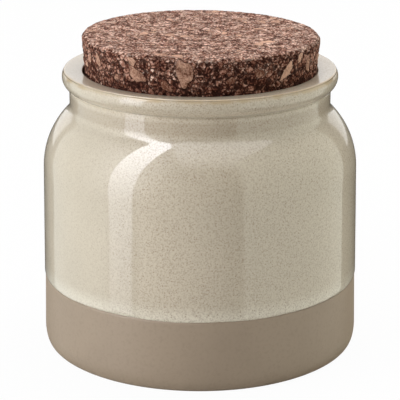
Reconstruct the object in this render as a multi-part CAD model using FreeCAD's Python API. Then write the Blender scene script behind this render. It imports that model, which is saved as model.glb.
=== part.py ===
"""Stoneware storage jar with a cork lid.

Millimetres, +Z up.  The origin is the centre of the face that the jar
stands on, and the jar is turned about the Z axis.
"""
import FreeCAD, Part
import math
import os

# ---------------------------------------------------------------- jar, outside
base_r = 60.0            # widest radius, just above the foot
foot_round_in = 1.65     # how far the foot's rounding draws in
foot_round_up = 5.9      # how high the foot's rounding reaches
foot_ring_w = 8.35       # width of the flat ring that the jar stands on
foot_recess = 1.2        # how far the underside is set back inside the ring
bare_lean = 0.5          # how far the unglazed band leans in up to the glaze
glaze_line_z = 26.8      # height of the glaze's lower edge
glaze_step = 0.35        # how far the glaze stands out from the bare clay
glaze_roll = 1.2         # height over which the glaze's edge rolls in
shoulder_lean = 0.85     # how far the wall leans in up to the shoulder
shoulder_z = 68.3        # height of the centre of the shoulder's curve
shoulder_round = 30.0    # radius of the shoulder's curve
neck_wall = 5.05         # thickness of the neck, beside the mouth's upper edge
neck_round = 5.0         # hollow between shoulder and neck
neck_h = 5.25            # height of the neck's straight part
groove_in = 0.7          # depth of the groove under the rolled rim
groove_up = 0.35         # height of the groove's lower slope
rim_w = 7.7              # width of the rim, from the mouth to its widest point
rim_round = 4.5          # radius of the rolled rim's section
lip_up = 2.75            # height of the rim's edge above the rim's widest point
lip_round = 0.8          # rounding of that edge

# ---------------------------------------------------------------- jar, inside
wall = 5.2               # thickness of the wall and the shoulder
floor_z = 7.5            # height of the inside floor
floor_round = 8.0        # corner between the floor and the wall
mouth_r = 43.85          # radius of the mouth at the rim
ledge_drop = 0.5         # how far the rim's top slopes down to the mouth
mouth_round = 0.6        # rounding of the mouth's edge
seat_round = 2.5         # rounding where the mouth's seat opens into the jar

# ---------------------------------------------------------------- cork lid
taper_deg = 4.7          # slope of the cork's side and of its seat
cork_gap = 0.35          # clearance between the cork's side and its seat
cork_stands = 13.45      # height of the cork above the mouth
cork_sinks = 12.5        # depth of the cork below the mouth
cork_top_round = 1.8     # rounding of the cork's upper edge
cork_foot_round = 1.2    # rounding of the cork's lower edge
cork_lean_deg = 0.68     # the cork is pushed in slightly aslant
cork_shift = 0.2         # and slightly off centre, towards +X

# ---------------------------------------------------------------- what follows from these
taper = math.tan(math.radians(taper_deg))
bare_top_r = base_r - bare_lean
shoulder_c = (base_r - shoulder_lean - shoulder_round, shoulder_z)
neck_r = mouth_r + neck_wall
hollow_r = neck_r + neck_round
hollow_deg = math.degrees(math.acos((hollow_r - shoulder_c[0]) / (shoulder_round + neck_round)))
hollow_z = shoulder_z + (shoulder_round + neck_round) * math.sin(math.radians(hollow_deg))
groove = (neck_r - groove_in, hollow_z + neck_h + groove_up)
rim_r = mouth_r + rim_w - rim_round
groove_deg = -math.degrees(math.acos((groove[0] - rim_r) / rim_round))
rim_c = (rim_r, groove[1] - rim_round * math.sin(math.radians(groove_deg)))
lip_deg = math.degrees(math.asin(lip_up / rim_round))
mouth_z = rim_c[1] + lip_up - ledge_drop


def at(r, z):
    """A point of an outline: its distance from the axis and its height."""
    return FreeCAD.Vector(r, 0, z)


def line(a, b):
    return Part.LineSegment(at(*a), at(*b)).toShape()


def arc(centre, radius, start_deg, end_deg):
    """Part of a circle, by angles measured from outwards towards up."""
    def point(deg):
        turn = math.radians(deg)
        return at(centre[0] + radius * math.cos(turn), centre[1] + radius * math.sin(turn))
    middle_deg = (start_deg + end_deg) / 2
    return Part.Arc(point(start_deg), point(middle_deg), point(end_deg)).toShape()


def quarter_ellipse(centre, down, out):
    """A quarter of an ellipse, from straight below its centre to straight beside it."""
    ellipse = Part.Ellipse(at(centre[0], centre[1] - down), at(centre[0] + out, centre[1]), at(*centre))
    return Part.ArcOfEllipse(ellipse, 0, math.pi / 2).toShape()


def turned(edges):
    """The solid that a closed outline sweeps round the Z axis."""
    wire = Part.Wire(Part.__sortEdges__(edges))
    return Part.Face(wire).revolve(FreeCAD.Vector(0, 0, 0), FreeCAD.Vector(0, 0, 1), 360)


def ring_edge(solid, r, z):
    """The level round edge of a turned solid that lies nearest to a radius and a height."""
    def miss(edge):
        level = isinstance(edge.Curve, Part.Circle) and abs(edge.Curve.Axis.z) > 0.99
        return math.hypot(edge.Curve.Radius - r, edge.Curve.Center.z - z) if level else math.inf
    return min(solid.Edges, key=miss)


def tangent_angle(point, centre, radius):
    """Angle on a circle, in degrees, at which a line up from a point outside touches it."""
    dr, dz = point[0] - centre[0], point[1] - centre[1]
    return math.degrees(math.atan2(dz, dr) + math.acos(radius / math.hypot(dr, dz)))


def on_circle(centre, radius, deg):
    turn = math.radians(deg)
    return (centre[0] + radius * math.cos(turn), centre[1] + radius * math.sin(turn))


def taper_meets(centre, radius):
    """Where the mouth's tapered seat, going down, first meets a circle."""
    dr, dz = mouth_r - centre[0], mouth_z - centre[1]
    a = 1 + taper ** 2
    half_b = -(dr * taper + dz)
    c = dr ** 2 + dz ** 2 - radius ** 2
    down = (-half_b - math.sqrt(half_b ** 2 - a * c)) / a
    return (mouth_r - down * taper, mouth_z - down)


def jar_outside():
    """Edges from the foot ring, up the wall, shoulder and neck, over the rolled rim."""
    foot_flat = (base_r - foot_round_in, 0)
    glaze_foot = (bare_top_r, glaze_line_z)
    glaze_full = (bare_top_r + glaze_step, glaze_line_z + glaze_roll)
    wall_deg = tangent_angle(glaze_full, shoulder_c, shoulder_round)
    neck_top = (neck_r, hollow_z + neck_h)
    edges = [
        quarter_ellipse((foot_flat[0], foot_round_up), foot_round_up, foot_round_in),
        line((base_r, foot_round_up), glaze_foot),
        quarter_ellipse((bare_top_r, glaze_full[1]), glaze_roll, glaze_step),
        line(glaze_full, on_circle(shoulder_c, shoulder_round, wall_deg)),
        arc(shoulder_c, shoulder_round, wall_deg, hollow_deg),
        arc((hollow_r, hollow_z), neck_round, 180 + hollow_deg, 180),
        line((neck_r, hollow_z), neck_top),
        line(neck_top, groove),
        arc(rim_c, rim_round, groove_deg, lip_deg),
    ]
    return edges, foot_flat, on_circle(rim_c, rim_round, lip_deg)


def jar_inside():
    """Edges from the mouth, down its tapered seat, inside the shoulder and wall to the floor."""
    inner_round = shoulder_round - wall
    inner_r = shoulder_c[0] + inner_round
    seat_foot = taper_meets(shoulder_c, inner_round)
    seat_deg = math.degrees(math.atan2(seat_foot[1] - shoulder_c[1], seat_foot[0] - shoulder_c[0]))
    corner_c = (inner_r - floor_round, floor_z + floor_round)
    edges = [
        line((mouth_r, mouth_z), seat_foot),
        arc(shoulder_c, inner_round, seat_deg, 0),
        line((inner_r, shoulder_z), (inner_r, corner_c[1])),
        arc(corner_c, floor_round, 0, -90),
        line((corner_c[0], floor_z), (0, floor_z)),
    ]
    return edges, seat_foot


def jar_body():
    outside, foot_flat, lip = jar_outside()
    inside, seat_foot = jar_inside()
    ring_r = foot_flat[0] - foot_ring_w
    underside = [
        line((0, floor_z), (0, foot_recess)),
        line((0, foot_recess), (ring_r - foot_recess, foot_recess)),
        line((ring_r - foot_recess, foot_recess), (ring_r, 0)),
        line((ring_r, 0), foot_flat),
    ]
    ledge = [line(lip, (mouth_r, mouth_z))]
    jar = turned(outside + ledge + inside + underside)
    jar = jar.makeFillet(lip_round, [ring_edge(jar, *lip)])
    jar = jar.makeFillet(mouth_round, [ring_edge(jar, mouth_r, mouth_z)])
    return jar.makeFillet(seat_round, [ring_edge(jar, *seat_foot)])


def cork_lid():
    top_z = mouth_z + cork_stands
    foot_z = mouth_z - cork_sinks
    side_r = mouth_r - cork_gap
    top_r = side_r + cork_stands * taper
    foot_r = side_r - cork_sinks * taper
    cork = turned([
        line((0, foot_z), (foot_r, foot_z)),
        line((foot_r, foot_z), (top_r, top_z)),
        line((top_r, top_z), (0, top_z)),
        line((0, top_z), (0, foot_z)),
    ])
    cork = cork.makeFillet(cork_top_round, [ring_edge(cork, top_r, top_z)])
    cork = cork.makeFillet(cork_foot_round, [ring_edge(cork, foot_r, foot_z)])
    cork.rotate(at(0, mouth_z), FreeCAD.Vector(0, 1, 0), cork_lean_deg)
    cork.translate(FreeCAD.Vector(cork_shift, 0, 0))
    return cork


nodes = {
    "jar_body": jar_body(),
    "cork_lid": cork_lid(),
}

os.makedirs("parts", exist_ok=True)
for name, shape in nodes.items():
    if not shape.isValid() or len(shape.Solids) != 1:
        raise ValueError(name + " is not one valid solid")
    shape.Solids[0].exportStep(os.path.join("parts", name + ".step"))
    box = shape.BoundBox
    print("%-10s volume %.1f cm3, box %.2f %.2f %.2f to %.2f %.2f %.2f" % (
        name, shape.Volume / 1000, box.XMin, box.YMin, box.ZMin, box.XMax, box.YMax, box.ZMax))
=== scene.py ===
# %% [markdown]
# # A stoneware storage jar with a cork lid
#
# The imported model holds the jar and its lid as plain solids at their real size.
# This lesson dresses them: a glazed jar with a bare clay foot, and a plug of pressed cork.
# Sizes are named in a maker's millimetres, and `MM` turns them into Blender's metres.

# %% Load the frame
import math
import bmesh
import bpy
import numpy as np
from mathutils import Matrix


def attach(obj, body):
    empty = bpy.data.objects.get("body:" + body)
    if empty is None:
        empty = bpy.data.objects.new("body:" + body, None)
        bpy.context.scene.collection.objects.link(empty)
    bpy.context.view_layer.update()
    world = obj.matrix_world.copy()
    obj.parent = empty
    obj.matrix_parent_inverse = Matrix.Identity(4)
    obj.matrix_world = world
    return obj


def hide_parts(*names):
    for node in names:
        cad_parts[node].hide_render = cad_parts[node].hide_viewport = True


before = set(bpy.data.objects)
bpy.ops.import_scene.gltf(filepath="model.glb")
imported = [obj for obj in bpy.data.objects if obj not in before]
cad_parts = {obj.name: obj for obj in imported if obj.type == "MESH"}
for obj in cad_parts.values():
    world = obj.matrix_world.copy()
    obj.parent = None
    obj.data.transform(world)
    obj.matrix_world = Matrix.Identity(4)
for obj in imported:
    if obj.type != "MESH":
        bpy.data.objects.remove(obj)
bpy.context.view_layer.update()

MM = 0.001
scene = bpy.context.scene

# %% [markdown]
# ## The camera
#
# A long lens keeps the jar's walls nearly upright.
# The camera stands a little over half a metre away, above the rim, and looks down
# by about eighteen degrees, so that the top of the cork and the ledge of the rim both show.
# The camera is tilted rather than shifted, so that other views frame the jar the same way.

# %% Camera
CAMERA_BACK = 615.6 * MM
CAMERA_UP = 250.7 * MM
CAMERA_DOWN = math.radians(17.77)
CAMERA_LENS = 152.1
CAMERA_SENSOR = 36.0

camera_data = bpy.data.cameras.new("camera")
camera_data.lens = CAMERA_LENS
camera_data.sensor_width = CAMERA_SENSOR
camera_data.clip_start = 0.01
camera = bpy.data.objects.new("camera", camera_data)
camera.location = (0, -CAMERA_BACK, CAMERA_UP)
camera.rotation_euler = (math.pi / 2 - CAMERA_DOWN, 0, 0)
scene.collection.objects.link(camera)
scene.camera = camera
scene.view_settings.view_transform = "Standard"
print("camera %.0f mm lens, %.0f mm away" % (CAMERA_LENS, CAMERA_BACK / MM))

# %% [markdown]
# ## Small helpers for node trees
#
# A node tree reads best when each node is one line.
# `add` makes a node, gives its settings, and fills its sockets with numbers or with
# the outputs of other nodes. The others each make one common kind of node and hand back its
# output, so that they can stand inside one another.

# %% Node helpers
def add(tree, kind, sockets=None, **settings):
    """A new node. sockets maps an input's name or number to a value or to another node's output."""
    node = tree.nodes.new(kind)
    for name, value in settings.items():
        setattr(node, name, value)
    for key, value in (sockets or {}).items():
        if isinstance(value, bpy.types.NodeSocket):
            tree.links.new(value, node.inputs[key])
        else:
            node.inputs[key].default_value = value
    return node


def calc(tree, operation, *values, clamp=False):
    """The output of a Math node."""
    node = add(tree, "ShaderNodeMath", dict(enumerate(values)), operation=operation, use_clamp=clamp)
    return node.outputs[0]


def ramp_between(tree, value, low, high, start=0.0, end=1.0):
    """A smooth step: start below low, end above high."""
    node = add(tree, "ShaderNodeMapRange", {"Value": value, "From Min": low, "From Max": high,
                                            "To Min": start, "To Max": end},
               interpolation_type="SMOOTHSTEP")
    return node.outputs["Result"]


def blend_colours(tree, factor, below, above, mode="MIX"):
    """The output of a colour Mix node. Colours may be plain (r, g, b) or outputs."""
    node = add(tree, "ShaderNodeMix", data_type="RGBA", blend_type=mode)
    for key, value in ((0, factor), (6, below), (7, above)):
        if isinstance(value, bpy.types.NodeSocket):
            tree.links.new(value, node.inputs[key])
        elif key == 0:
            node.inputs[key].default_value = value
        else:
            node.inputs[key].default_value = (*value, 1)
    return node.outputs[2]


def colour_scale(tree, value, stops):
    """A colour read off a scale. Each stop is a position from 0 to 1 and a colour."""
    node = add(tree, "ShaderNodeValToRGB", {0: value})
    while len(node.color_ramp.elements) < len(stops):
        node.color_ramp.elements.new(0.5)
    for element, (position, colour) in zip(node.color_ramp.elements, stops):
        element.position = position
        element.color = (*colour, 1)
    return node.outputs["Color"]


def split(tree, vector):
    """The outputs X, Y and Z of a vector. A colour's are its red, green and blue."""
    return add(tree, "ShaderNodeSeparateXYZ", {0: vector}).outputs


def noise_at(tree, place, scale, detail):
    """Noise read at a place, from 0 to 1."""
    return add(tree, "ShaderNodeTexNoise", {"Vector": place, "Scale": scale, "Detail": detail}).outputs["Fac"]


def srgb(red, green, blue):
    """A colour named by its screen values from 0 to 255, as the linear numbers that shaders use."""
    def linear(level):
        level /= 255
        return level / 12.92 if level <= 0.04045 else ((level + 0.055) / 1.055) ** 2.4
    return (linear(red), linear(green), linear(blue))


def new_material(name):
    """A material with an empty tree: its tree and its output node."""
    material = bpy.data.materials.new(name)
    material.use_nodes = True
    material.node_tree.nodes.clear()
    output = material.node_tree.nodes.new("ShaderNodeOutputMaterial")
    return material, material.node_tree, output


def new_object(name, mesh):
    thing = bpy.data.objects.new(name, mesh)
    scene.collection.objects.link(thing)
    return thing


print("helpers ready")

# %% [markdown]
# ## Turning the jar
#
# A potter throws or jiggers a jar like this on a wheel, so its whole form follows one rule:
# an outline turned round an upright axis. The outline could be drawn by hand as a curve,
# but here it is worked out from the same sizes as the solid: a rounded foot, a band of bare
# clay, the small step where the glaze begins, a wall that leans in a little, the shoulder's
# arc, a short neck, a groove, and the rolled rim. Inside, the wall runs parallel.

# %% The jar's sizes, in millimetres
BASE_R = 60.0                     # widest radius, just above the foot
FOOT_IN, FOOT_UP = 1.65, 5.9      # the foot's rounding
RING_R = 50.0                     # inner edge of the ring that the jar stands on
RECESS = 1.2                      # the underside is set back inside the ring
BARE_TOP_R = BASE_R - 0.5         # the bare clay leans in, up to the glaze
GLAZE_Z = 26.8                    # the glaze's lower edge
GLAZE_STEP, GLAZE_ROLL = 0.35, 1.2
SHOULDER_R = BASE_R - 0.85        # the wall leans in, up to the shoulder
SHOULDER_Z = 68.3
SHOULDER_ROUND = 30.0
MOUTH_R = 43.85                   # radius of the mouth at the rim
MOUTH_ROUND = 0.6
MOUTH_DEPTH = 14.5                # how far the seat for the cork reaches down
SEAT_ROUND = 2.5
TAPER = math.tan(math.radians(4.7))
NECK_R = MOUTH_R + 5.05
NECK_ROUND = 5.0
GROOVE_R = NECK_R - 0.7           # the groove under the rolled rim
GROOVE_SLOPE = 0.35
RIM_R = MOUTH_R + 7.7
RIM_ROUND = 4.5
RIM_Z = 103.0                     # the rim is widest here
LIP_Z = RIM_Z + 2.75              # the rim's edge
LIP_ROUND = 0.8
MOUTH_Z = LIP_Z - 0.5             # the rim's top slopes down to the mouth
WALL = 5.2
FLOOR_Z = 7.5
FLOOR_ROUND = 8.0
print("jar %.0f mm across, rim %.1f mm, mouth %.1f mm" % (2 * BASE_R, 2 * RIM_R, 2 * MOUTH_R))


# %% Drawing helpers for the outline
def on_circle(centre, radius, degrees):
    turn = math.radians(degrees)
    return np.array([centre[0] + radius * math.cos(turn), centre[1] + radius * math.sin(turn)])


def arc_points(centre, radius, start, end, spacing):
    """Points along part of a circle, about spacing apart, both ends included."""
    count = max(3, 1 + math.ceil(abs(math.radians(end - start)) * radius / spacing))
    return [on_circle(centre, radius, degrees) for degrees in np.linspace(start, end, count)]


def line_points(start, end, spacing):
    count = max(2, 1 + math.ceil(math.dist(start, end) / spacing))
    return list(np.linspace(start, end, count))


def quarter_points(centre, down, out, count):
    """A quarter of an ellipse, from below its centre to beside it."""
    turns = np.linspace(0, math.pi / 2, count)
    return [np.array([centre[0] + out * math.sin(t), centre[1] - down * math.cos(t)]) for t in turns]


def rounded_corner(before, corner, after, radius, count=6):
    """Points that replace a corner between two straight runs with an arc of a radius."""
    u = (np.array(before) - corner) / math.dist(before, corner)
    v = (np.array(after) - corner) / math.dist(after, corner)
    half = math.acos(np.clip(np.dot(u, v), -1, 1)) / 2
    centre = corner + (u + v) / np.linalg.norm(u + v) * radius / math.sin(half)
    first = corner + u * radius / math.tan(half)
    last = corner + v * radius / math.tan(half)
    a0 = math.atan2(*(first - centre)[::-1])
    a1 = math.atan2(*(last - centre)[::-1])
    turn = (a1 - a0 + math.pi) % (2 * math.pi) - math.pi
    return [on_circle(centre, radius, math.degrees(a0 + turn * k)) for k in np.linspace(0, 1, count)]


# %% The outline, from the middle of the underside, up the outside, and down to the floor inside
def jar_outline():
    glaze_foot = np.array([BARE_TOP_R, GLAZE_Z])
    glaze_full = np.array([BARE_TOP_R + GLAZE_STEP, GLAZE_Z + GLAZE_ROLL])
    shoulder_c = (SHOULDER_R - SHOULDER_ROUND, SHOULDER_Z)
    lean = glaze_full - shoulder_c
    start = math.degrees(math.atan2(lean[1], lean[0]) + math.acos(SHOULDER_ROUND / np.linalg.norm(lean)))
    reach = SHOULDER_ROUND + NECK_ROUND
    end = math.degrees(math.acos((NECK_R + NECK_ROUND - shoulder_c[0]) / reach))
    hollow_c = (NECK_R + NECK_ROUND, SHOULDER_Z + reach * math.sin(math.radians(end)))
    rim_c = (RIM_R - RIM_ROUND, RIM_Z)
    groove_deg = -math.degrees(math.acos((GROOVE_R - rim_c[0]) / RIM_ROUND))
    lip_deg = math.degrees(math.asin((LIP_Z - RIM_Z) / RIM_ROUND))
    groove = on_circle(rim_c, RIM_ROUND, groove_deg)
    lip = on_circle(rim_c, RIM_ROUND, lip_deg)
    neck_top = np.array([NECK_R, groove[1] - GROOVE_SLOPE])
    mouth = np.array([MOUTH_R, MOUTH_Z])
    seat_foot = np.array([MOUTH_R - MOUTH_DEPTH * TAPER, MOUTH_Z - MOUTH_DEPTH])
    inner_end = math.degrees(math.acos((seat_foot[0] - shoulder_c[0]) / (SHOULDER_ROUND - WALL)))
    inner_top = on_circle(shoulder_c, SHOULDER_ROUND - WALL, inner_end)
    inner_r = SHOULDER_R - WALL
    floor_c = (inner_r - FLOOR_ROUND, FLOOR_Z + FLOOR_ROUND)

    under = line_points((0, RECESS), (RING_R - RECESS - 0.4, RECESS), 8)
    under += [np.array([RING_R - 0.3, 0.25]), np.array([RING_R + 0.3, 0.0])]
    bare = line_points((RING_R + 1, 0), (BASE_R - FOOT_IN, 0), 3)
    bare += quarter_points((BASE_R - FOOT_IN, FOOT_UP), FOOT_UP, FOOT_IN, 14)
    bare += line_points((BASE_R, FOOT_UP), glaze_foot, 1.0)
    glazed = quarter_points((BARE_TOP_R, glaze_full[1]), GLAZE_ROLL, GLAZE_STEP, 9)
    glazed += line_points(glaze_full, on_circle(shoulder_c, SHOULDER_ROUND, start), 1.5)
    glazed += arc_points(shoulder_c, SHOULDER_ROUND, start, end, 0.9)
    glazed += arc_points(hollow_c, NECK_ROUND, 180 + end, 180, 0.5)
    glazed += line_points((NECK_R, hollow_c[1]), neck_top - (0, 0.35), 1.2)
    glazed += rounded_corner((NECK_R, hollow_c[1]), neck_top, groove, 0.3, 4)
    glazed += arc_points(rim_c, RIM_ROUND, groove_deg + 3, lip_deg - 5, 0.45)
    glazed += rounded_corner(on_circle(rim_c, RIM_ROUND, lip_deg - 6), lip, mouth, LIP_ROUND, 7)
    glazed += line_points(lip + (mouth - lip) * 0.12, mouth + (lip - mouth) * 0.12, 1.0)
    glazed += rounded_corner(lip, mouth, seat_foot, MOUTH_ROUND, 6)
    glazed += line_points(mouth + (seat_foot - mouth) * 0.08, seat_foot, 2.0)
    below_seat = on_circle(shoulder_c, SHOULDER_ROUND - WALL, inner_end - 9)
    glazed += rounded_corner(seat_foot, inner_top, below_seat, SEAT_ROUND * 0.5, 5)
    glazed += arc_points(shoulder_c, SHOULDER_ROUND - WALL, inner_end - 9, 0, 2.2)
    glazed += line_points((inner_r, SHOULDER_Z), (inner_r, floor_c[1]), 6)
    glazed += arc_points(floor_c, FLOOR_ROUND, 0, -90, 1.6)
    glazed += line_points((floor_c[0], FLOOR_Z), (0, FLOOR_Z), 8)

    points, coats = [], []
    for run, coat in ((under, 0), (bare, 0), (glazed, 1)):
        for point in run:
            if not points or math.dist(point, points[-1]) > 0.02 or coat != coats[-1]:
                points.append(point)
                coats.append(coat)
    return np.array(points), coats


outline, coats = jar_outline()
print("outline of %d points, %.0f mm long" % (
    len(outline), np.linalg.norm(np.diff(outline, axis=0), axis=1).sum()))

# %% [markdown]
# ## The wheel, as Geometry Nodes
#
# The outline goes into a mesh of loose points, and a small node tree does what the wheel does.
# It takes a flat grid, reads one outline point for each of its rows, and swings each column
# round the axis. The tree is also the place for the touches that a hand leaves: the walls
# are never quite true, and the edge of the glaze rises and falls a little where the jar was
# held upside down in the glaze. The tree keeps a `glaze` attribute, so that the finish knows
# where the coat ends.

# %% The outline as a mesh that the tree can read
def outline_object(points, coats):
    mesh = bpy.data.meshes.new("jar_outline")
    mesh.from_pydata([(r * MM, 0, z * MM) for r, z in points], [], [])
    coat = mesh.attributes.new("coat", "FLOAT", "POINT")
    coat.data.foreach_set("value", coats)
    return new_object("jar_outline", mesh)


# %% The wheel tree
def wheel_tree():
    tree = bpy.data.node_groups.new("turn_on_wheel", "GeometryNodeTree")
    face = tree.interface
    face.new_socket("Outline", in_out="INPUT", socket_type="NodeSocketObject")
    for name in ("Rows", "Columns", "Seed"):
        face.new_socket(name, in_out="INPUT", socket_type="NodeSocketInt")
    for name in ("Wobble", "Glaze line", "Glaze wave", "Wave reach"):
        face.new_socket(name, in_out="INPUT", socket_type="NodeSocketFloat")
    face.new_socket("Finish", in_out="INPUT", socket_type="NodeSocketMaterial")
    face.new_socket("Jar", in_out="OUTPUT", socket_type="NodeSocketGeometry")
    given = tree.nodes.new("NodeGroupInput").outputs

    # a flat grid whose x runs round the jar and whose y runs along the outline
    grid = add(tree, "GeometryNodeMeshGrid", {"Size X": 1.0, "Size Y": 1.0, "Vertices X": given["Columns"],
                                              "Vertices Y": given["Rows"]})
    here = tree.nodes.new("GeometryNodeInputPosition").outputs[0]
    flat = split(tree, here)
    turn = calc(tree, "MULTIPLY", calc(tree, "ADD", flat["X"], 0.5), 2 * math.pi)
    last_row = calc(tree, "SUBTRACT", given["Rows"], 1.0)
    row = calc(tree, "ROUND", calc(tree, "MULTIPLY", calc(tree, "ADD", flat["Y"], 0.5), last_row))

    # the outline's point and coat for each row
    source = add(tree, "GeometryNodeObjectInfo", {"Object": given["Outline"]})
    spot = add(tree, "GeometryNodeSampleIndex", {"Geometry": source.outputs["Geometry"], "Value": here,
                                                 "Index": row}, data_type="FLOAT_VECTOR")
    coat_in = add(tree, "GeometryNodeInputNamedAttribute", {"Name": "coat"}, data_type="FLOAT")
    coat = add(tree, "GeometryNodeSampleIndex", {"Geometry": source.outputs["Geometry"],
                                                 "Value": coat_in.outputs["Attribute"],
                                                 "Index": row}, data_type="FLOAT")
    ring = split(tree, spot.outputs["Value"])
    radius, height = ring["X"], ring["Z"]

    # a place on a circle, so that noise read there closes on itself
    cosine, sine = calc(tree, "COSINE", turn), calc(tree, "SINE", turn)
    loop = add(tree, "ShaderNodeCombineXYZ", {"X": cosine, "Y": sine,
                                              "Z": calc(tree, "MULTIPLY", height, 18.0)})
    edge_loop = add(tree, "ShaderNodeCombineXYZ", {"X": cosine, "Y": sine, "Z": given["Seed"]})
    uneven = add(tree, "ShaderNodeTexNoise", {"Vector": loop.outputs[0], "W": given["Seed"], "Scale": 2.2,
                                              "Detail": 1.0}, noise_dimensions="4D")
    broad = noise_at(tree, edge_loop.outputs[0], 3.0, 1.0)
    fine = noise_at(tree, edge_loop.outputs[0], 24.0, 2.0)

    # the glazed wall is a hair out of true, always inwards
    inwards = calc(tree, "MULTIPLY", uneven.outputs["Fac"], calc(tree, "MULTIPLY", given["Wobble"], -1.0))
    inwards = calc(tree, "MULTIPLY", inwards, coat.outputs["Value"])
    inwards = calc(tree, "MULTIPLY", inwards, ramp_between(tree, radius, 0.02, 0.04))
    radius = calc(tree, "ADD", radius, inwards)

    # the glaze's edge rises and falls, and the rows near it go with it
    wave = calc(tree, "ADD", calc(tree, "SUBTRACT", broad, 0.5),
                calc(tree, "MULTIPLY", calc(tree, "SUBTRACT", fine, 0.5), 0.45))
    away = calc(tree, "ABSOLUTE", calc(tree, "SUBTRACT", height, given["Glaze line"]))
    near = ramp_between(tree, away, 0.0, given["Wave reach"], 1.0, 0.0)
    near = calc(tree, "MULTIPLY", near, ramp_between(tree, radius, 0.056, 0.058))
    height = calc(tree, "ADD", height, calc(tree, "MULTIPLY", calc(tree, "MULTIPLY", wave, near),
                                            given["Glaze wave"]))

    place = add(tree, "ShaderNodeCombineXYZ", {"X": calc(tree, "MULTIPLY", radius, cosine),
                                               "Y": calc(tree, "MULTIPLY", radius, sine), "Z": height})
    # the coat is kept while the grid is still flat, because a row is read from the place
    kept = add(tree, "GeometryNodeStoreNamedAttribute", {"Geometry": grid.outputs["Mesh"], "Name": "glaze",
                                                         "Value": coat.outputs["Value"]},
               data_type="FLOAT", domain="POINT")
    turned = add(tree, "GeometryNodeSetPosition", {"Geometry": kept.outputs[0], "Position": place.outputs[0]})
    closed = add(tree, "GeometryNodeMergeByDistance", {"Geometry": turned.outputs[0], "Distance": 2e-6})
    smooth = add(tree, "GeometryNodeSetShadeSmooth", {"Geometry": closed.outputs[0]})
    real = add(tree, "GeometryNodeRealizeInstances", {"Geometry": smooth.outputs[0]})
    painted = add(tree, "GeometryNodeSetMaterial", {"Geometry": real.outputs[0], "Material": given["Finish"]})
    add(tree, "NodeGroupOutput", {"Jar": painted.outputs[0]})
    return tree


# %% [markdown]
# ## From a tree to a plain mesh
#
# A tree only shows its result while its modifier is live. To keep a plain mesh, the
# evaluated result is copied and the object that held the modifier is removed. A closed
# mesh's faces are then turned outwards, and its open edges and volume are printed as proof.

# %% Running a tree and keeping its result
def run_tree(mesh, tree, name, **inputs):
    """A new object with the plain mesh that a tree makes of a mesh."""
    host = new_object(name + "_host", mesh)
    modifier = host.modifiers.new(tree.name, "NODES")
    modifier.node_group = tree
    sockets = {item.name: item.identifier for item in tree.interface.items_tree
               if item.item_type == "SOCKET" and item.in_out == "INPUT"}
    for label, value in inputs.items():
        modifier[sockets[label.replace("_", " ")]] = value
    scene.view_layers[0].update()
    finished = host.evaluated_get(bpy.context.evaluated_depsgraph_get())
    result = bpy.data.meshes.new_from_object(finished)
    result.name = name
    host.modifiers.clear()
    bpy.data.objects.remove(host)
    return new_object(name, result)


def face_outwards(mesh):
    """Recalculates a closed mesh's normals, and prints whether it is closed."""
    shell = bmesh.new()
    shell.from_mesh(mesh)
    bmesh.ops.recalc_face_normals(shell, faces=shell.faces)
    open_edges = sum(1 for edge in shell.edges if not edge.is_manifold)
    volume = shell.calc_volume(signed=True)
    if volume < 0:
        bmesh.ops.reverse_faces(shell, faces=shell.faces)
    triangles = sum(len(face.verts) - 2 for face in shell.faces)
    shell.to_mesh(mesh)
    shell.free()
    print("%s: %d triangles, %d open edges, %.1f cm3" % (mesh.name, triangles, open_edges, abs(volume) * 1e6))


# %% [markdown]
# ## Glaze and bare clay
#
# The finish is one material with two halves, because on the real jar it is one body that was
# dipped: below the edge the fired clay is matt and a little gritty, above it a milky glaze
# covers it. The glaze is not one colour. It is full of fine specks of iron from the clay,
# it breaks to tan where it runs thin over the rim's sharp edge, and it is paler where it
# gathers in a roll at its lower edge. Here it is also darkened a little with painted shade in the
# hollow under the rim, and its specks are faded on the left as a painted glare. Specks could be
# small meshes, but they are no higher than the glaze, so noise in the shader is right for them.

# %% The glaze's colour
GLAZE_COLOUR = srgb(204, 191, 171)
GLAZE_THICK = srgb(222, 213, 196)
GLAZE_THIN = srgb(184, 160, 126)
# painted shade for the hollow under the rim, and where it lies
GLAZE_PAINTED_SHADE = srgb(162, 143, 121)
SPECK_COLOUR = srgb(140, 110, 86)
GATHERED_UP = (1.0, 7.0)                # the glaze is palest this far above its edge, and plain from here
RIM_SHADE_Z = (91.3, 93.0, 96.2, 97.4)     # where the glaze darkens under the rim: from, full, full, to
# painted glare: the specks fade on the left, as under the left window's reflection
GLARE_FADE_X = (-42.0, -15.0)               # the specks are half hidden left of here, and all shown right of here
GLARE_FADE_SHARE = 0.45
TAN_BELOW_LIP = (1.9, 0.7)              # the tan line: where it starts and is full, down from the rim's edge


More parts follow.
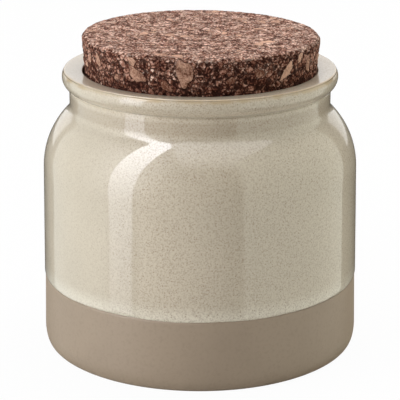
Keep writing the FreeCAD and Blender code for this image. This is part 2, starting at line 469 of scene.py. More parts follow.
def glaze_colour(tree, place, axes):
    """A milky ground with cloudy patches, fine specks and a few darker ones, and a tan line at the rim."""
    clouds = noise_at(tree, place, 45.0, 3.0)
    ground = blend_colours(tree, ramp_between(tree, clouds, 0.35, 0.7), GLAZE_COLOUR,
                           tuple(0.95 * part for part in GLAZE_COLOUR))
    gathered = ramp_between(tree, axes["Z"], (GLAZE_Z + GATHERED_UP[0]) * MM, (GLAZE_Z + GATHERED_UP[1]) * MM,
                            0.85, 0.0)
    ground = blend_colours(tree, gathered, ground, GLAZE_THICK)
    # painted shade: the glaze is darkened in the hollow under the rim, as the rim would shade it
    hollow = calc(tree, "MULTIPLY", ramp_between(tree, axes["Z"], RIM_SHADE_Z[0] * MM, RIM_SHADE_Z[1] * MM),
                  ramp_between(tree, axes["Z"], RIM_SHADE_Z[2] * MM, RIM_SHADE_Z[3] * MM, 0.4, 0.0))
    ground = blend_colours(tree, hollow, ground, GLAZE_PAINTED_SHADE)

    # painted glare: the specks are half hidden on the left side, as if washed out by the left window's
    # reflection
    glare_speck_share = ramp_between(tree, axes["X"], GLARE_FADE_X[0] * MM, GLARE_FADE_X[1] * MM, GLARE_FADE_SHARE, 1.0)
    fine = ramp_between(tree, noise_at(tree, place, 1700.0, 2.0), 0.38, 0.72, 0.0, 0.42)
    ground = blend_colours(tree, calc(tree, "MULTIPLY", fine, glare_speck_share), ground, SPECK_COLOUR)
    specks = add(tree, "ShaderNodeTexVoronoi", {"Vector": place, "Scale": 1600.0}, feature="F1").outputs
    size = ramp_between(tree, split(tree, specks["Color"])["X"], 0.45, 1.0, 0.0, 0.42)
    speck = ramp_between(tree, calc(tree, "SUBTRACT", specks["Distance"], size), -0.10, 0.06, 0.5, 0.0)
    ground = blend_colours(tree, calc(tree, "MULTIPLY", speck, glare_speck_share), ground, SPECK_COLOUR)

    # the tan line where the glaze runs thin, just outside the rim's edge
    outward = calc(tree, "SQRT", calc(tree, "ADD", calc(tree, "MULTIPLY", axes["X"], axes["X"]),
                                      calc(tree, "MULTIPLY", axes["Y"], axes["Y"])))
    ragged = noise_at(tree, place, 160.0, 2.0)
    edge_z = calc(tree, "ADD", axes["Z"], calc(tree, "MULTIPLY", calc(tree, "SUBTRACT", ragged, 0.5), 1.2 * MM))
    above = ramp_between(tree, edge_z, (LIP_Z - TAN_BELOW_LIP[0]) * MM, (LIP_Z - TAN_BELOW_LIP[1]) * MM)
    outer = ramp_between(tree, outward, (RIM_R - 1.5) * MM, (RIM_R - 0.9) * MM)
    thin = calc(tree, "MULTIPLY", calc(tree, "MULTIPLY", above, outer),
                ramp_between(tree, ragged, 0.3, 0.6, 0.45, 0.95))
    return blend_colours(tree, thin, ground, GLAZE_THIN)


# %% The clay's colour, and the finish of the whole jar
CLAY_COLOUR = srgb(160, 141, 122)
CLAY_GRIT = srgb(140, 123, 106)
CLAY_ROUGH, GLAZE_ROUGH, COAT_ROUGH = 0.48, 0.42, 0.035
CLAY_BUMP, GLAZE_BUMP = 0.08 * MM, 0.04 * MM
GLASS_IOR = 1.5


def clay_colour(tree, place, grit):
    """Clay with fine grit and faint broad patches."""
    clay = blend_colours(tree, ramp_between(tree, grit, 0.45, 0.75, 0.0, 0.35), CLAY_COLOUR, CLAY_GRIT)
    patches = noise_at(tree, place, 60.0, 3.0)
    return blend_colours(tree, ramp_between(tree, patches, 0.4, 0.7, 0.0, 0.18), clay, CLAY_GRIT)


def jar_finish():
    material, tree, output = new_material("speckled_glaze_on_clay")
    place = tree.nodes.new("ShaderNodeTexCoord").outputs["Object"]
    coat = add(tree, "ShaderNodeAttribute", attribute_name="glaze").outputs["Fac"]
    edge = ramp_between(tree, coat, 0.15, 0.5)
    grit = noise_at(tree, place, 900.0, 4.0)
    colour = blend_colours(tree, edge, clay_colour(tree, place, grit),
                           glaze_colour(tree, place, split(tree, place)))

    # gritty below the edge, gently rippled above it
    clay_height = calc(tree, "MULTIPLY", grit, CLAY_BUMP)
    glaze_height = calc(tree, "MULTIPLY", noise_at(tree, place, 120.0, 1.0), GLAZE_BUMP)
    height = calc(tree, "ADD", calc(tree, "MULTIPLY", clay_height, calc(tree, "SUBTRACT", 1.0, edge)),
                  calc(tree, "MULTIPLY", glaze_height, edge))
    bump = add(tree, "ShaderNodeBump", {"Height": height, "Strength": 0.6, "Distance": 1.0}).outputs[0]
    roughness = ramp_between(tree, edge, 0.0, 1.0, CLAY_ROUGH, GLAZE_ROUGH)
    shader = add(tree, "ShaderNodeBsdfPrincipled", {"Base Color": colour, "Roughness": roughness,
                                                    "IOR": GLASS_IOR, "Normal": bump,
                                                    "Coat Weight": edge, "Coat Roughness": COAT_ROUGH,
                                                    "Coat IOR": GLASS_IOR, "Coat Normal": bump})
    tree.links.new(shader.outputs[0], output.inputs["Surface"])
    return material


# %% Turn the jar
drawn = outline_object(outline, coats)
jar = run_tree(bpy.data.meshes.new("clay"), wheel_tree(), "stoneware_jar",
               Outline=drawn, Rows=len(outline), Columns=321, Seed=7,
               Wobble=0.12 * MM, Glaze_line=GLAZE_Z * MM, Glaze_wave=0.9 * MM, Wave_reach=7.0 * MM,
               Finish=jar_finish())
bpy.data.objects.remove(drawn)
face_outwards(jar.data)
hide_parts("jar_body")
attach(jar, "root")

# %% [markdown]
# ## The cork plug
#
# Pressed cork is made of ground bark: hard dark granules, soft pale ones, glue between them,
# and here and there a chip as long as a fingernail. The plug is turned or ground from a block,
# so its side is cut granules and small pits. A smooth plug with a flat cork pattern would look
# printed, because real pits throw shadows and break the outline. So the plug is a fine closed
# mesh, and Geometry Nodes press the granules and pits into it. The same cells, read by the
# shader from a kept copy of each point's first place, give each granule its colour.

# %% The cork's sizes, in millimetres
CORK_GAP = 0.35           # clearance between the cork's side and its seat
CORK_STANDS = 13.45       # height above the mouth
CORK_SINKS = 12.5         # depth below the mouth
CORK_TOP_ROUND = 1.8
CORK_FOOT_ROUND = 1.2
CORK_LEAN = math.radians(0.68)
CORK_SHIFT = 0.2
CORK_SINK_IN = 0.12       # the mesh starts this far inside the solid, so that its relief stays within
print("cork stands %.2f mm above the mouth and sinks %.2f mm into it" % (CORK_STANDS, CORK_SINKS))


# %% A fine, closed, tapered plug
def cork_blank(cells=168, rows_up=44, rows_down=12):
    """Vertices and faces of the plug: a gridded top, a tapered side, and a plain underside."""
    side_r = MOUTH_R - CORK_GAP - CORK_SINK_IN
    top_z = MOUTH_Z + CORK_STANDS - CORK_SINK_IN
    foot_z = MOUTH_Z - CORK_SINKS
    top_r, foot_r = side_r + CORK_STANDS * TAPER, side_r - CORK_SINKS * TAPER
    rounded = rounded_corner((0, top_z), (top_r, top_z), (side_r, MOUTH_Z), CORK_TOP_ROUND, 7)
    side = line_points(rounded[-1], (side_r - 2 * TAPER, MOUTH_Z - 2), CORK_STANDS / rows_up)[1:]
    side += line_points(side[-1], (foot_r, foot_z), 2 * CORK_SINKS / rows_down)[1:-1]
    side += rounded_corner(side[-1], (foot_r, foot_z), (0, foot_z), CORK_FOOT_ROUND, 4)
    rim = rounded + side

    # the top: a square grid bent into a disc, so that its cells stay even to the middle
    steps = np.linspace(-1, 1, cells + 1)
    u, v = np.meshgrid(steps, steps, indexing="ij")
    ring = np.maximum(np.abs(u), np.abs(v))
    with np.errstate(divide="ignore", invalid="ignore"):
        wide = np.abs(u) >= np.abs(v)
        turn = np.where(wide, np.pi / 4 * v / np.where(wide, u, 1),
                        np.pi / 2 - np.pi / 4 * u / np.where(wide, 1, v))
    turn = np.where(ring == 0, 0, turn)
    sign = np.where(wide, np.sign(u), np.sign(v))
    flat_r = rounded[0][0] * ring * sign
    points = [(x, y, top_z) for x, y in zip((flat_r * np.cos(turn)).ravel(), (flat_r * np.sin(turn)).ravel())]
    number = np.arange((cells + 1) ** 2).reshape(cells + 1, cells + 1)
    faces = [(number[i, j], number[i + 1, j], number[i + 1, j + 1], number[i, j + 1])
             for i in range(cells) for j in range(cells)]

    # the rim of that grid, in order round the disc, carries the side's columns
    last = cells
    border = ([number[i, 0] for i in range(last)] + [number[last, j] for j in range(last)]
              + [number[i, last] for i in range(last, 0, -1)] + [number[0, j] for j in range(last, 0, -1)])
    angles = [math.atan2(points[k][1], points[k][0]) for k in border]
    previous = border
    for r, z in rim[1:]:
        start = len(points)
        points += [(r * math.cos(a), r * math.sin(a), z) for a in angles]
        current = list(range(start, start + len(angles)))
        faces += [(previous[k], current[k], current[(k + 1) % len(angles)], previous[(k + 1) % len(angles)])
                  for k in range(len(angles))]
        previous = current
    points.append((0, 0, foot_z))
    faces += [(previous[k], len(points) - 1, previous[(k + 1) % len(angles)]) for k in range(len(angles))]
    mesh = bpy.data.meshes.new("cork_blank")
    mesh.from_pydata([(x * MM, y * MM, z * MM) for x, y, z in points], [],
                     [tuple(int(k) for k in face) for face in faces])
    return mesh


# %% [markdown]
# ## Chips in the cork
#
# A few chips are much larger and paler than the rest. They are laid out one by one on the
# front of the plug, and sown at random over the rest of it. Each is a blunt oval with its own
# turn, kept on the mesh as an attribute, so that relief and colour both know where it lies.

# %% Where the large chips lie: azimuth from the front in degrees, height, length, width, turn, paleness
LAID_CHIPS = (
    (-7.5, 113.4, 9.4, 6.0, 98, 0.38),
    (-31.0, 111.2, 7.4, 4.2, -28, 0.40),
    (-33.5, 116.0, 3.6, 2.8, -40, 0.50),
    (44.5, 111.8, 7.6, 3.4, 48, 1.00),
    (53.5, 115.6, 4.2, 2.4, 60, 0.80),
    (62.0, 112.0, 6.0, 2.8, 96, 0.62),
    (-57.0, 113.2, 5.2, 2.6, 110, 0.45),
    (-66.0, 112.5, 3.6, 2.0, 80, 0.55),
    (-43.0, 109.0, 3.0, 2.2, 15, 0.30),
    (14.0, 110.6, 3.6, 2.2, 15, 0.20),
    (28.0, 112.6, 4.2, 3.0, 160, 0.16),
    (-16.0, 108.2, 5.0, 2.6, 140, 0.18),
)


SIDE_CHIPS, TOP_CHIPS = 34, 34      # how many are sown on the rest of the side, and on the top
SOWN_AZIMUTHS = (72, 288)
SOWN_REACH = 42.0                   # the top's chips lie within this radius


def sown_chips(seed=11):
    """The laid chips, then the sown ones. One on the top has its reach from the middle in place of a height."""
    dice = np.random.default_rng(seed)
    chips = []
    for azimuth, height, long, wide, turn, pale in LAID_CHIPS:
        chips.append((azimuth, height, long, wide, math.radians(turn), pale, "side"))
    for _ in range(SIDE_CHIPS):
        azimuth = dice.uniform(*SOWN_AZIMUTHS)
        long = dice.uniform(2.4, 7.0)
        chips.append((azimuth, dice.uniform(107, 116), long, long * dice.uniform(0.4, 0.75),
                      dice.uniform(0, math.pi), dice.uniform(0.2, 0.9), "side"))
    for _ in range(TOP_CHIPS):
        reach = SOWN_REACH * math.sqrt(dice.uniform(0, 1))
        long = dice.uniform(2.0, 6.0)
        chips.append((dice.uniform(0, 360), reach, long, long * dice.uniform(0.4, 0.8),
                      dice.uniform(0, math.pi), dice.uniform(0.5, 1.0), "top"))
    return chips


def lay_chips(mesh, chips):
    """Keeps on the mesh whether each point lies in a chip, from 0 to 1, and how pale that chip is."""
    count = len(mesh.vertices)
    points = np.empty(count * 3)
    mesh.vertices.foreach_get("co", points)
    points = points.reshape(-1, 3) / MM
    inside, pale = np.zeros(count), np.zeros(count)
    top_z = points[:, 2].max()
    for azimuth, reach, long, wide, turn, shade, face in chips:
        across = math.radians(azimuth)
        if face == "side":
            radius = MOUTH_R + (reach - MOUTH_Z) * TAPER
            centre = np.array([radius * math.sin(across), -radius * math.cos(across), reach])
            right, up = np.array([math.cos(across), math.sin(across), 0]), np.array([0, 0, 1])
        else:
            centre = np.array([reach * math.sin(across), -reach * math.cos(across), top_z])
            right, up = np.array([1, 0, 0]), np.array([0, 1, 0])
        along = right * math.cos(turn) + up * math.sin(turn)
        beside = up * math.cos(turn) - right * math.sin(turn)
        away = points - centre
        deep = away @ np.cross(along, beside)
        x, y = away @ along / (long / 2), away @ beside / (wide / 2)
        round_it = np.arctan2(y, x)
        ragged = 0.13 * np.sin(3 * round_it + shade * 40) + 0.07 * np.sin(5 * round_it + shade * 90)
        oval = np.hypot(x, y) * (1 + ragged)
        mask = np.clip((1.12 - oval) / 0.26, 0, 1) * (np.abs(deep) < 2.5)
        better = mask > inside
        inside[better], pale[better] = mask[better], shade
    for name, values in (("chip", inside), ("chip_pale", pale)):
        mesh.attributes.new(name, "FLOAT", "POINT").data.foreach_set("value", values)
    print("%d chips laid, on %.0f%% of the points" % (len(chips), 100 * (inside > 0.5).mean()))


# %% [markdown]
# ## Pressing the granules in
#
# Voronoi cells are the natural rule for pressed granules, because both come from grains that
# grow until they meet. The tree sinks a groove along the cells' borders, sets each cell a
# little higher or lower than its neighbours, and opens pits where small cells are missing.
# The top was sanded flat, so there the relief is shallower. Each point's first place is kept
# before it moves, because the colours are read there.

# %% The granule tree
GRANULE = 2.3 * MM
CRUMB = 1.15 * MM
WARP = 0.85 * MM
SOLID_SHARE = 0.45        # share of the large cells that are one whole granule
GROOVE_DEEP, STEP_DEEP, PIT_DEEP = 0.30 * MM, 0.26 * MM, 0.50 * MM
TOP_SHARE = 0.4           # share of that relief on the sanded top


def bent_place(tree, place):
    """A place moved about by noise, so that cell borders turn ragged in relief and colour alike."""
    noise = add(tree, "ShaderNodeTexNoise", {"Vector": place, "Scale": 520.0, "Detail": 2.0})
    centred = add(tree, "ShaderNodeVectorMath", {0: noise.outputs["Color"], 1: (0.5, 0.5, 0.5)},
                  operation="SUBTRACT")
    moved = add(tree, "ShaderNodeVectorMath", {0: centred.outputs[0], "Scale": WARP}, operation="SCALE")
    return add(tree, "ShaderNodeVectorMath", {0: place, 1: moved.outputs[0]}, operation="ADD").outputs[0]


def grains(tree, place, size, feature):
    """The cells of a size, as the outputs of a Voronoi Texture."""
    return add(tree, "ShaderNodeTexVoronoi", {"Vector": place, "Scale": 1 / size}, feature=feature).outputs


def press_tree():
    tree = bpy.data.node_groups.new("press_granules", "GeometryNodeTree")
    face = tree.interface
    face.new_socket("Plug", in_out="INPUT", socket_type="NodeSocketGeometry")
    for name in ("Granule", "Crumb", "Groove", "Step", "Pit", "Top share", "Lean", "Shift"):
        face.new_socket(name, in_out="INPUT", socket_type="NodeSocketFloat")
    face.new_socket("Finish", in_out="INPUT", socket_type="NodeSocketMaterial")
    face.new_socket("Cork", in_out="OUTPUT", socket_type="NodeSocketGeometry")
    given = tree.nodes.new("NodeGroupInput").outputs
    place = tree.nodes.new("GeometryNodeInputPosition").outputs[0]
    normal = tree.nodes.new("GeometryNodeInputNormal").outputs[0]
    chip = add(tree, "GeometryNodeInputNamedAttribute", {"Name": "chip"}, data_type="FLOAT")
    loose = calc(tree, "SUBTRACT", 1.0, calc(tree, "MULTIPLY", chip.outputs["Attribute"], 0.85))
    bent = bent_place(tree, place)

    def voronoi(size, feature):
        scale = calc(tree, "DIVIDE", 1.0, given[size])
        return add(tree, "ShaderNodeTexVoronoi", {"Vector": bent, "Scale": scale}, feature=feature).outputs

    # grooves between granules, granules at different heights, pits, and a fine grain
    border = voronoi("Granule", "DISTANCE_TO_EDGE")["Distance"]
    groove = calc(tree, "MULTIPLY", ramp_between(tree, border, 0.0, 0.16, -1.0, 0.0), given["Groove"])
    level = split(tree, voronoi("Granule", "F1")["Color"])["Y"]
    step = calc(tree, "MULTIPLY", calc(tree, "SUBTRACT", level, 1.0), given["Step"])
    small = voronoi("Crumb", "F1")
    small_level = split(tree, small["Color"])
    hollow = ramp_between(tree, small_level["X"], 0.80, 0.84, 0.0, -1.0)
    hollow = calc(tree, "MULTIPLY", hollow, ramp_between(tree, small["Distance"], 0.30, 0.55, 1.0, 0.0))
    pit = calc(tree, "MULTIPLY", hollow, given["Pit"])
    crumb = calc(tree, "MULTIPLY", calc(tree, "SUBTRACT", small_level["Z"], 1.0),
                 calc(tree, "MULTIPLY", given["Step"], 0.5))
    sunk = calc(tree, "ADD", calc(tree, "ADD", groove, step), calc(tree, "ADD", pit, crumb))
    sunk = calc(tree, "MULTIPLY", sunk, loose)

    # shallower on the sanded top
    top = ramp_between(tree, split(tree, normal)["Z"], 0.75, 0.95)
    share = calc(tree, "SUBTRACT", 1.0, calc(tree, "MULTIPLY", top,
                                             calc(tree, "SUBTRACT", 1.0, given["Top share"])))
    offset = add(tree, "ShaderNodeVectorMath", {0: normal, "Scale": calc(tree, "MULTIPLY", sunk, share)},
                 operation="SCALE")

    # keep the first place for the shader, then press, and set the plug aslant in the mouth
    kept = add(tree, "GeometryNodeStoreNamedAttribute", {"Geometry": given["Plug"], "Name": "rest",
                                                         "Value": place},
               data_type="FLOAT_VECTOR", domain="POINT")
    pressed = add(tree, "GeometryNodeSetPosition", {"Geometry": kept.outputs[0], "Offset": offset.outputs[0]})
    down = add(tree, "GeometryNodeTransform", {"Geometry": pressed.outputs[0],
                                               "Translation": (0, 0, -MOUTH_Z * MM)})
    slant = add(tree, "ShaderNodeCombineXYZ", {"Y": given["Lean"]})
    slanted = add(tree, "GeometryNodeTransform", {"Geometry": down.outputs[0], "Rotation": slant.outputs[0]})
    back = add(tree, "ShaderNodeCombineXYZ", {"X": given["Shift"], "Z": MOUTH_Z * MM})
    seated = add(tree, "GeometryNodeTransform", {"Geometry": slanted.outputs[0],
                                                 "Translation": back.outputs[0]})
    smooth = add(tree, "GeometryNodeSetShadeSmooth", {"Geometry": seated.outputs[0]})
    real = add(tree, "GeometryNodeRealizeInstances", {"Geometry": smooth.outputs[0]})
    painted = add(tree, "GeometryNodeSetMaterial", {"Geometry": real.outputs[0], "Material": given["Finish"]})
    add(tree, "NodeGroupOutput", {"Cork": painted.outputs[0]})
    return tree


# %% [markdown]
# ## The colour of cork
#
# Each granule takes one colour from a short scale, from bark brown to pale tan, by the random
# number of its cell. Between granules the glue and a painted shadow are nearly black-brown, and
# small pits are darkened as painted shade, while a few crumbs are painted pale as glints. Large
# granules, small crumbs and a fine grain are laid over each other, because a single cell size
# looks like tiles. The sanded top is set paler, partly for its cut granules and partly as painted
# light from above, the side grows a little darker towards the jar as painted shade, and each large
# chip has a fine grain of its own. The place is the kept one, so the colours sit exactly on the relief.

# %% The cork's finish
CORK_SCALE = (
    (0.00, srgb(50, 20, 11)),
    (0.25, srgb(102, 57, 42)),
    (0.50, srgb(152, 104, 86)),
    (0.75, srgb(200, 154, 135)),
    (1.00, srgb(240, 204, 186)),
)
# the glue between granules, darkened further as a painted shadow
CORK_GLUE_AND_SHADE = srgb(40, 15, 7)
CORK_CHIP_DARK = srgb(112, 69, 52)
CORK_CHIP_PALE = srgb(222, 177, 152)
CORK_ROUGH, CORK_SHINE, CORK_IOR = 0.82, 0.15, 1.45
CORK_TOP_Z = MOUTH_Z + CORK_STANDS


def cork_finish():
    material, tree, output = new_material("pressed_cork")
    place = add(tree, "ShaderNodeAttribute", attribute_name="rest").outputs["Vector"]
    chip = add(tree, "ShaderNodeAttribute", attribute_name="chip").outputs["Fac"]
    pale = add(tree, "ShaderNodeAttribute", attribute_name="chip_pale").outputs["Fac"]
    bent = bent_place(tree, place)

    def swing(scale, detail, reach):
        """Noise spread over the whole range from -reach to reach."""
        return ramp_between(tree, noise_at(tree, bent, scale, detail), 0.33, 0.67, -reach, reach)

    # some large cells are whole granules, and the rest are filled with crumbs
    big = split(tree, grains(tree, bent, GRANULE, "F1")["Color"])
    small = split(tree, grains(tree, bent, CRUMB, "F1")["Color"])
    whole = ramp_between(tree, big["Z"], 1 - SOLID_SHARE - 0.02, 1 - SOLID_SHARE + 0.02)
    granule = calc(tree, "ADD", calc(tree, "MULTIPLY", big["X"], 0.38), 0.24)
    crumbs = calc(tree, "ADD", calc(tree, "MULTIPLY", small["Y"], 0.56), 0.16)
    # painted glints: a few crumbs are set pale, where light would catch them
    crumbs = calc(tree, "ADD", crumbs, ramp_between(tree, small["Z"], 0.92, 0.95, 0.0, 0.22))
    mixed = calc(tree, "ADD", calc(tree, "MULTIPLY", granule, whole),
                 calc(tree, "MULTIPLY", crumbs, calc(tree, "SUBTRACT", 1.0, whole)))

    # the sanded top is paler than the side, partly for its cut granules and partly as painted light from above
    height = split(tree, place)["Z"]
    top = ramp_between(tree, height, (CORK_TOP_Z - 1.7) * MM, (CORK_TOP_Z - 0.5) * MM)
    # painted shade: the side grows darker towards the jar
    low = ramp_between(tree, height, MOUTH_Z * MM, (MOUTH_Z + 9) * MM, -0.12, 0.05)
    grain = calc(tree, "ADD", swing(1250.0, 1.0, 0.22), swing(260.0, 1.0, 0.14))
    grain = calc(tree, "MULTIPLY", grain, calc(tree, "ADD", calc(tree, "MULTIPLY", top, 0.5), 1.0))
    mixed = calc(tree, "ADD", calc(tree, "ADD", calc(tree, "ADD", mixed, grain), low),
                 calc(tree, "MULTIPLY", top, 0.15))
    colour = colour_scale(tree, mixed, CORK_SCALE)

    # chips have a fine grain of their own
    chip_shade = calc(tree, "ADD", pale, calc(tree, "ADD", swing(1500.0, 1.0, 0.22), swing(350.0, 0.0, 0.16)))
    chip_colour = blend_colours(tree, chip_shade, CORK_CHIP_DARK, CORK_CHIP_PALE)
    colour = blend_colours(tree, ramp_between(tree, chip, 0.45, 0.6), colour, chip_colour)

    # dark glue lines round granules and crumbs, darkened further as painted shadow in the grooves, a rim round
    # each chip, and small pits darkened as painted shade
    wide = grains(tree, bent, GRANULE, "DISTANCE_TO_EDGE")["Distance"]
    narrow = grains(tree, bent, CRUMB, "DISTANCE_TO_EDGE")["Distance"]
    narrow_line = calc(tree, "MULTIPLY", ramp_between(tree, narrow, 0.04, 0.18, 0.8, 0.0),
                       calc(tree, "SUBTRACT", 1.0, calc(tree, "MULTIPLY", whole, 0.8)))
    wide_line = ramp_between(tree, wide, 0.03, 0.11, 0.9, 0.0)
    # painted shade: small pits are darkened
    pit = ramp_between(tree, small["X"], 0.86, 0.88, 0.0, 0.9)
    line = calc(tree, "MAXIMUM", wide_line, calc(tree, "MAXIMUM", narrow_line, pit))
    line = calc(tree, "MULTIPLY", line, ramp_between(tree, chip, 0.35, 0.6, 1.0, 0.15))
    line = calc(tree, "MULTIPLY", line, calc(tree, "SUBTRACT", 1.0, calc(tree, "MULTIPLY", top, 0.3)))
    rim = calc(tree, "MULTIPLY", ramp_between(tree, chip, 0.05, 0.3),
               ramp_between(tree, chip, 0.4, 0.65, 0.8, 0.0))
    colour = blend_colours(tree, calc(tree, "MAXIMUM", line, rim), colour, CORK_GLUE_AND_SHADE)

    relief = calc(tree, "ADD", calc(tree, "MULTIPLY", mixed, 0.30 * MM),
                  ramp_between(tree, narrow, 0.0, 0.25, 0.0, 0.15 * MM))
    bump = add(tree, "ShaderNodeBump", {"Height": relief, "Strength": 0.8, "Distance": 1.0})
    shader = add(tree, "ShaderNodeBsdfPrincipled", {"Base Color": colour, "Roughness": CORK_ROUGH,
                                                    "IOR": CORK_IOR, "Specular IOR Level": CORK_SHINE,
                                                    "Normal": bump.outputs[0]})
    tree.links.new(shader.outputs[0], output.inputs["Surface"])
    return material


# %% Make the cork
blank = cork_blank()
lay_chips(blank, sown_chips())
cork = run_tree(blank, press_tree(), "cork_plug", Granule=GRANULE, Crumb=CRUMB, Groove=GROOVE_DEEP,
                Step=STEP_DEEP, Pit=PIT_DEEP, Top_share=TOP_SHARE, Lean=CORK_LEAN, Shift=CORK_SHIFT * MM,
                Finish=cork_finish())
face_outwards(cork.data)
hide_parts("cork_lid")
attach(cork, "root")

# %% [markdown]
# ## A product studio
#
# Glossy glaze shows its room, and matt clay and cork only show how much light reaches them.
# Lighting the two apart makes both easier to set, so each panel is seen either by mirror rays
# only or by matt surfaces only, and never by the camera. A glow can fade along one way, which
# gives a reflection the soft edge of a real window.

# %% A panel and its glow
def glow_material(name, strength, colour=(1.0, 1.0, 1.0), fade=None):
    """A shining finish. fade is a way and its stops, as (place, share of the strength).

    The way is "up", in metres of height, "ahead", in metres towards the camera's side, or
    "round", in degrees of azimuth from the camera's side.
    """
    material, tree, output = new_material(name)
    power = strength
    if fade:
        way, stops = fade
        axes = split(tree, tree.nodes.new("ShaderNodeTexCoord").outputs["Object"])
        measured = axes["Z"] if way == "up" else calc(tree, "MULTIPLY", axes["Y"], -1.0)
        if way == "round":
            measured = calc(tree, "DEGREES", calc(tree, "ARCTAN2", axes["X"], measured))
        first, last = stops[0][0], stops[-1][0]
        along = add(tree, "ShaderNodeMapRange", {"Value": measured, "From Min": first, "From Max": last})
        scale = [((place - first) / (last - first), (share, share, share)) for place, share in stops]
        power = calc(tree, "MULTIPLY", colour_scale(tree, along.outputs["Result"], scale), strength)
    shine = add(tree, "ShaderNodeEmission", {"Color": (*colour, 1), "Strength": power})
    tree.links.new(shine.outputs[0], output.inputs["Surface"])
    return material


def panel(name, corners, glow, seen_by):
    """A flat shining panel, seen by mirror rays only ("gloss") or by matt surfaces only ("matt")."""
    mesh = bpy.data.meshes.new(name)
    mesh.from_pydata([tuple(float(c) for c in corner) for corner in corners], [], [(0, 1, 2, 3)])
    mesh.materials.append(glow)
    thing = new_object(name, mesh)
    thing.visible_camera = False
    thing.visible_shadow = False
    thing.visible_glossy = seen_by == "gloss"
    thing.visible_diffuse = seen_by == "matt"


def around(azimuth, distance):
    """A spot on the floor, at an azimuth in degrees from the camera's side towards +X."""
    turn = math.radians(azimuth)
    return np.array([distance * math.sin(turn), -distance * math.cos(turn)])


# %% [markdown]
# ## Windows, walls and soft light
#
# Windows stand left, right and behind. Between them, in front, a dim warm wall fades out to
# the right, which keeps the middle of the jar warm and lets its specks show. The panels reach
# below the table's height, and the table lets mirror rays pass, so the upright reflections
# run down the whole wall of the jar. Three soft panels light the matt surfaces from left and right.

# %% Upright panels: from, to, distance, bottom, top, strength, colour, fade, what sees it
FRONT_FADE = ("round", ((-44, 1.0), (0, 0.6), (25, 0.0)))
WALL_PANELS = (
    ("left_window", -131, -68, 0.8, -0.5, 0.9, 0.8, (0.94, 1.0, 1.0), None, "gloss"),
    ("front_wall", -44, 25, 0.9, -0.6, 0.5, 0.8, (1.0, 0.90, 0.80), FRONT_FADE, "gloss"),
    ("right_window", 31, 124, 0.8, -0.5, 1.2, 1.05, (1.0, 1.03, 0.92), None, "gloss"),
    ("back_window", 140, 220, 1.2, 0.0, 1.4, 1.0, (1.0, 1.0, 1.0), None, "gloss"),
    ("key_soft", -82, -36, 1.2, -0.1, 1.2, 4.15, (0.96, 1.0, 1.0), None, "matt"),
    ("left_soft", -125, -84, 1.2, -0.1, 1.2, 0.6, (0.90, 1.0, 1.0), None, "matt"),
    ("right_soft", 55, 145, 1.2, -0.1, 1.2, 1.35, (1.0, 1.03, 0.90), None, "matt"),
)
for name, start, end, distance, bottom, top, strength, colour, fade, seen_by in WALL_PANELS:
    middle, half = (start + end) / 2, math.radians((end - start) / 2)
    centre, side = around(middle, distance), around(middle + 90, distance) * math.tan(half)
    corners = [(*(centre + sign * side), height)
               for sign, height in ((-1, bottom), (1, bottom), (1, top), (-1, top))]
    panel(name, corners, glow_material(name + "_glow", strength, colour, fade), seen_by)
print("%d upright panels" % len(WALL_PANELS))

# %% [markdown]
# ## The bright strip and the ceiling
#
# A narrow bright strip stands front left and draws the long highlight down the jar's wall. It
# widens to the right towards its head, so the highlight widens on the shoulder. Of three
# ceiling panels, one lights the matt surfaces from above, and two shine in the glaze.

# %% The strip, by azimuth and height
STRIP_AWAY, STRIP_STRENGTH = 0.7, 7.4
STRIP_CORNERS = ((-66, -0.30), (-48.5, -0.30), (-32, 2.4), (-66, 2.4))
STRIP_FADE = ("up", ((-0.27, 0.0), (-0.20, 0.16), (-0.12, 0.36), (0.15, 0.5), (0.7, 1.0), (1.2, 1.4)))
panel("strip", [(*around(azimuth, STRIP_AWAY), height) for azimuth, height in STRIP_CORNERS],
      glow_material("strip_glow", STRIP_STRENGTH, (1.0, 1.02, 1.1), STRIP_FADE), "gloss")

# %% The ceiling: left, right, near, far, strength, fade, what sees it
CEILING = 1.1
CEILING_FADE = ("ahead", ((0.0, 1.0), (0.35, 0.9), (0.7, 0.65), (1.3, 0.15)))
CEILING_PANELS = (
    ("top_panel", -0.5, 0.7, -0.1, 0.9, 3.1, None, "matt"),
    ("shoulder_panel", -0.30, 0.9, -1.3, 0.0, 3.0, CEILING_FADE, "gloss"),
    ("rim_panel", -0.62, -0.16, 0.1, 0.7, 6.0, None, "gloss"),
)
for name, left, right, near, far, strength, fade, seen_by in CEILING_PANELS:
    corners = [(left, near, CEILING), (right, near, CEILING), (right, far, CEILING), (left, far, CEILING)]
    panel(name, corners, glow_material(name + "_glow", strength, fade=fade), seen_by)
print("a strip and %d ceiling panels" % len(CEILING_PANELS))

# %% [markdown]
# ## The table and the room
#
# The table is nearly white to the camera, with a trace of its own shading left, and pale and
# matt to the jar. Where nothing else stands, the room round the jar is dim and warm, and only
# the camera sees it white.

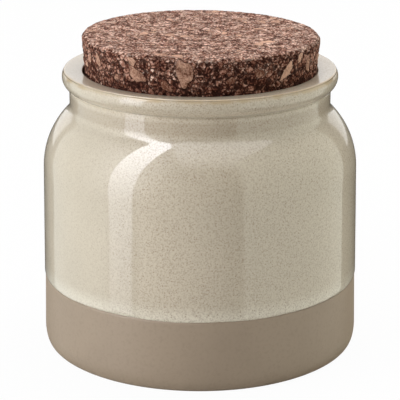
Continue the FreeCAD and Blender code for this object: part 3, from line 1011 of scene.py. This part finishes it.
# %% The table
TABLE_HALF = 3.0
TABLE_GREY = (0.8, 0.8, 0.8, 1)
TABLE_WHITE = 0.96        # share of plain white that the camera sees


def table_material():
    material, tree, output = new_material("pale_table")
    seen = tree.nodes.new("ShaderNodeLightPath").outputs["Is Camera Ray"]
    matt = add(tree, "ShaderNodeBsdfDiffuse", {"Color": TABLE_GREY}).outputs[0]
    white = add(tree, "ShaderNodeEmission", {"Color": (1, 1, 1, 1), "Strength": 1.0}).outputs[0]
    to_camera = add(tree, "ShaderNodeMixShader", {0: TABLE_WHITE, 1: matt, 2: white}).outputs[0]
    mixed = add(tree, "ShaderNodeMixShader", {0: seen, 1: matt, 2: to_camera})
    tree.links.new(mixed.outputs[0], output.inputs["Surface"])
    return material


table_mesh = bpy.data.meshes.new("table")
table_mesh.from_pydata([(x * TABLE_HALF, y * TABLE_HALF, 0) for x, y in ((-1, -1), (1, -1), (1, 1), (-1, 1))],
                       [], [(0, 1, 2, 3)])
table_mesh.materials.append(table_material())
table = new_object("table", table_mesh)
table.visible_glossy = False
print("table %.0f m wide" % (2 * TABLE_HALF))

# %% The room
ROOM_COLOUR = (1.0, 0.93, 0.84, 1)
ROOM_LOW, ROOM_HIGH = 0.05, 0.10

world = bpy.data.worlds.new("room")
world.use_nodes = True
scene.world = world
room = world.node_tree
room.nodes.clear()
height = split(room, room.nodes.new("ShaderNodeTexCoord").outputs["Generated"])["Z"]
level = ramp_between(room, height, -0.1, 0.2, ROOM_LOW, ROOM_HIGH)
dim = add(room, "ShaderNodeBackground", {"Color": ROOM_COLOUR, "Strength": level})
white = add(room, "ShaderNodeBackground", {"Color": (1, 1, 1, 1), "Strength": 1.0})
seen = room.nodes.new("ShaderNodeLightPath").outputs["Is Camera Ray"]
both = add(room, "ShaderNodeMixShader", {0: seen, 1: dim.outputs[0], 2: white.outputs[0]})
add(room, "ShaderNodeOutputWorld", {"Surface": both.outputs[0]})
print("room from %.2f to %.2f bright" % (ROOM_LOW, ROOM_HIGH))
